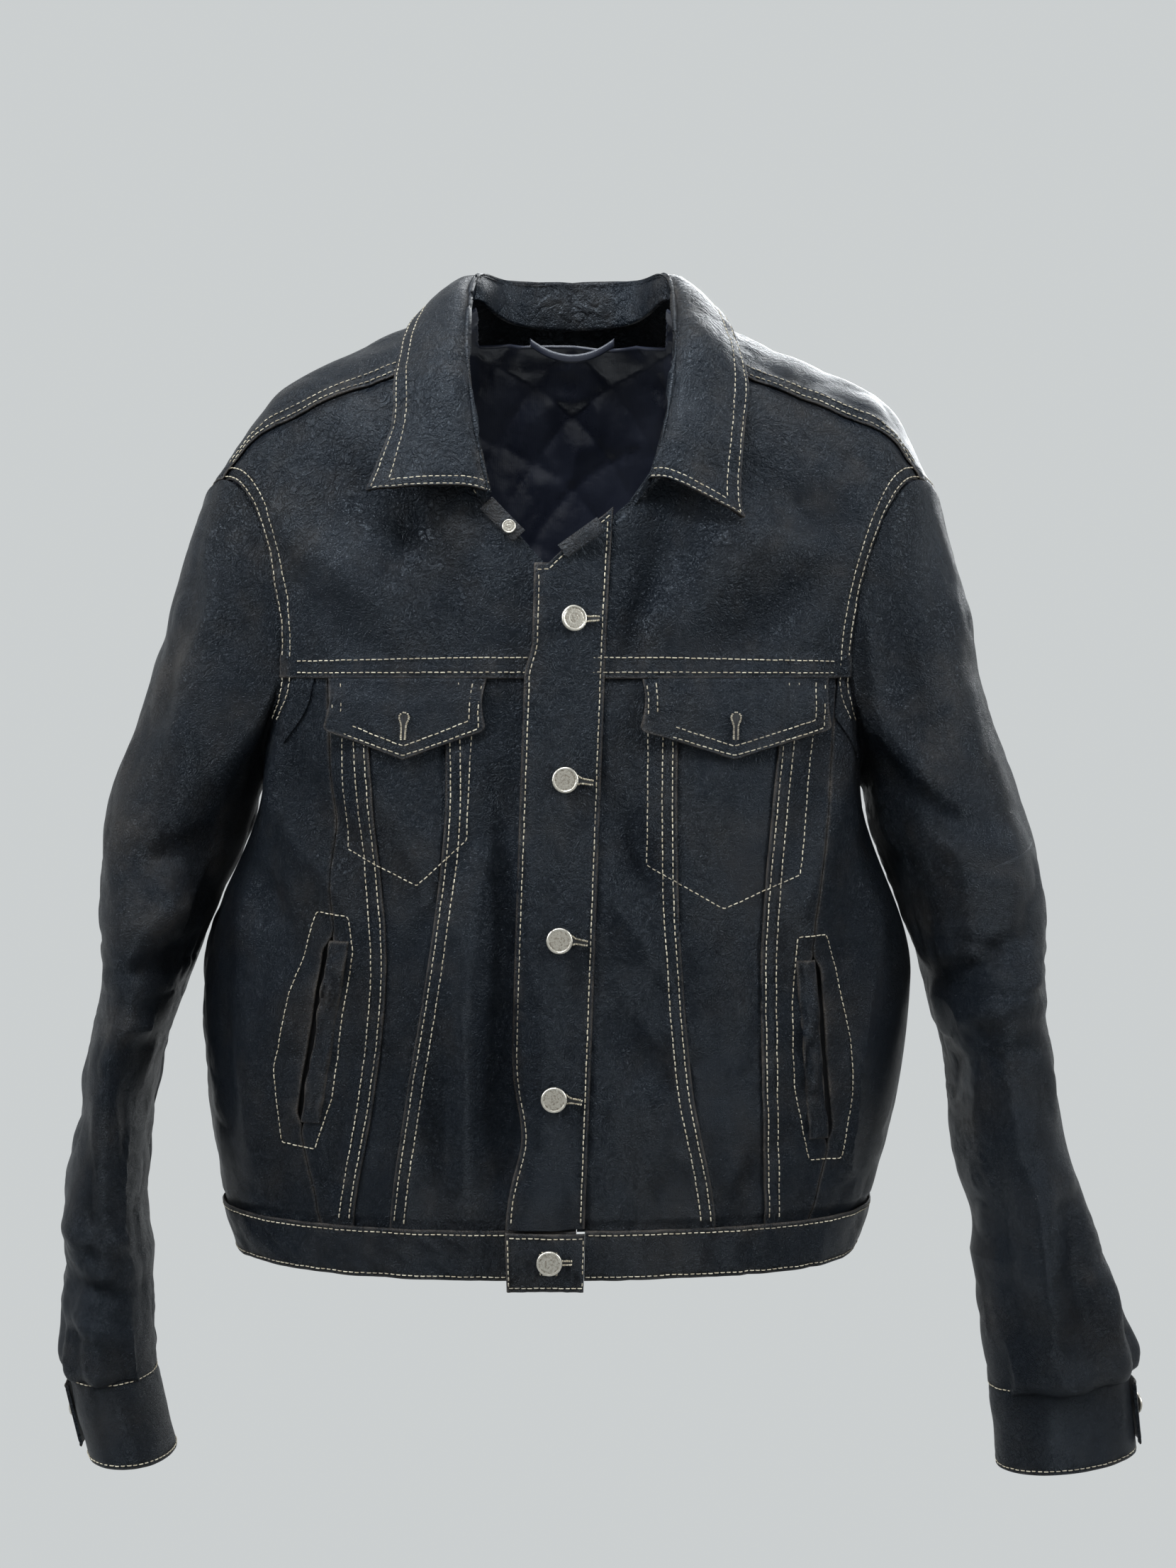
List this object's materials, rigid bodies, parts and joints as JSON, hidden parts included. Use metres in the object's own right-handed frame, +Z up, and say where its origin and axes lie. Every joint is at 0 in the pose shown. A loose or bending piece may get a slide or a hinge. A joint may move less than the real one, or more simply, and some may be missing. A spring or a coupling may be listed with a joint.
{
  "type": "leather jacket",
  "caption": "Waist-length black leather jacket, hung and buttoned, with a yoke, flap chest pockets, slanted hand pockets, turned-down collar and cuffs.",
  "frame": {"origin": "in the neck, at the height where a hanger's shoulders carry the jacket; x = 0 at the middle of the front closing at hem level", "axes": "+Z up, front faces -Y, +X to the wearer's left"},
  "size_m": [0.7582, 0.2364, 0.84],
  "materials": {
    "black_leather": "worn, semi-gloss",
    "satin_lining": "quilted satin",
    "pocket_cloth": "matt",
    "aged_nickel": "tarnished"
  },
  "bodies": {
    "shell": {"back_yoke": "black_leather", "back_centre_panel": "black_leather", "button_stand": "black_leather", "waistband_back": "black_leather", "back_lining": "satin_lining", "collar_back": "black_leather", "collar_button": "aged_nickel", "waist_button": "aged_nickel", "neck_facing_right": "black_leather", "front_button_1": "aged_nickel", "front_button_2": "aged_nickel", "front_button_3": "aged_nickel", "front_button_4": "aged_nickel", "front_yoke_left": "black_leather", "front_yoke_right": "black_leather", "front_centre_panel_left": "black_leather", "front_centre_panel_right": "black_leather", "front_middle_panel_left": "black_leather", "front_middle_panel_right": "black_leather", "front_side_panel_left": "black_leather", "front_side_panel_right": "black_leather", "back_side_panel_left": "black_leather", "back_side_panel_right": "black_leather", "waistband_front_left": "black_leather", "waistband_front_right": "black_leather", "front_lining_left": "satin_lining", "front_lining_right": "satin_lining", "chest_pocket_bag_left": "pocket_cloth", "chest_pocket_bag_right": "pocket_cloth", "hand_pocket_bag_left": "pocket_cloth", "hand_pocket_bag_right": "pocket_cloth", "hand_pocket_welt_left": "black_leather", "hand_pocket_welt_right": "black_leather", "chest_button_left": "aged_nickel", "chest_button_right": "aged_nickel"},
    "placket": {"buttonhole_placket": "black_leather", "waistband_end_tab": "black_leather", "neck_facing_left": "black_leather"},
    "chest_flap_body_left": {"chest_flap_left": "black_leather"},
    "collar_leaf_body_left": {"collar_leaf_left": "black_leather"},
    "upper_arm_left": {"upper_sleeve_outer_left": "black_leather", "upper_sleeve_inner_left": "black_leather"},
    "forearm_left": {"lower_sleeve_outer_left": "black_leather", "lower_sleeve_inner_left": "black_leather", "cuff_left": "black_leather"},
    "cuff_tab_body_left": {"cuff_tab_left": "black_leather", "cuff_button_left": "aged_nickel"},
    "chest_flap_body_right": {"chest_flap_right": "black_leather"},
    "collar_leaf_body_right": {"collar_leaf_right": "black_leather"},
    "upper_arm_right": {"upper_sleeve_outer_right": "black_leather", "upper_sleeve_inner_right": "black_leather"},
    "forearm_right": {"lower_sleeve_outer_right": "black_leather", "lower_sleeve_inner_right": "black_leather", "cuff_right": "black_leather"},
    "cuff_tab_body_right": {"cuff_tab_right": "black_leather", "cuff_button_right": "aged_nickel"},
    "loop": {"hang_loop": "black_leather"}
  },
  "joints": [
    {"name": "front_closing", "type": "hinge", "parent": "shell", "child": "placket", "pos_m": [0.03144, -0.11779, -0.3848], "axis": [0.0359, 0.0028, 0.9994], "range_deg": [0, 120]},
    {"name": "chest_flap_lift_left", "type": "hinge", "parent": "shell", "child": "chest_flap_body_left", "pos_m": [0.1242, -0.10863, -0.23581], "axis": [-0.989, -0.1479, 0.0006], "range_deg": [0, 110]},
    {"name": "collar_lift_left", "type": "hinge", "parent": "shell", "child": "collar_leaf_body_left", "pos_m": [0.08134, -0.08113, -0.03175], "axis": [-0.0799, -0.555, -0.828], "range_deg": [0, 85]},
    {"name": "shoulder_raise_left", "type": "hinge", "parent": "shell", "child": "upper_arm_left", "pos_m": [0.26983, 0, -0.11834], "axis": [0, -1, 0], "range_deg": [0, 45]},
    {"name": "elbow_bend_left", "type": "hinge", "parent": "upper_arm_left", "child": "forearm_left", "pos_m": [0.30151, -0.084, -0.4305], "axis": [-1, 0, 0], "range_deg": [0, 60]},
    {"name": "cuff_tab_open_left", "type": "hinge", "parent": "forearm_left", "child": "cuff_tab_body_left", "pos_m": [0.41131, -0.04514, -0.75118], "axis": [0.1065, 0, -0.9943], "range_deg": [0, 60]},
    {"name": "chest_flap_lift_right", "type": "hinge", "parent": "shell", "child": "chest_flap_body_right", "pos_m": [-0.09398, -0.10941, -0.23578], "axis": [-0.9952, 0.0979, 0.0004], "range_deg": [0, 110]},
    {"name": "collar_lift_right", "type": "hinge", "parent": "shell", "child": "collar_leaf_body_right", "pos_m": [-0.05234, -0.08113, -0.03175], "axis": [-0.0799, 0.555, 0.828], "range_deg": [0, 85]},
    {"name": "shoulder_raise_right", "type": "hinge", "parent": "shell", "child": "upper_arm_right", "pos_m": [-0.24083, 0, -0.11834], "axis": [0, 1, 0], "range_deg": [0, 45]},
    {"name": "elbow_bend_right", "type": "hinge", "parent": "upper_arm_right", "child": "forearm_right", "pos_m": [-0.28247, -0.087, -0.4305], "axis": [-1, 0, 0], "range_deg": [0, 60]},
    {"name": "cuff_tab_open_right", "type": "hinge", "parent": "forearm_right", "child": "cuff_tab_body_right", "pos_m": [-0.33419, -0.05054, -0.7508], "axis": [-0.2261, 0, 0.9741], "range_deg": [0, 60]},
    {"name": "hang_loop_lift", "type": "hinge", "parent": "shell", "child": "loop", "pos_m": [0.0145, 0.038, 0.004], "axis": [-1, 0, 0], "range_deg": [0, 80]}
  ]
}
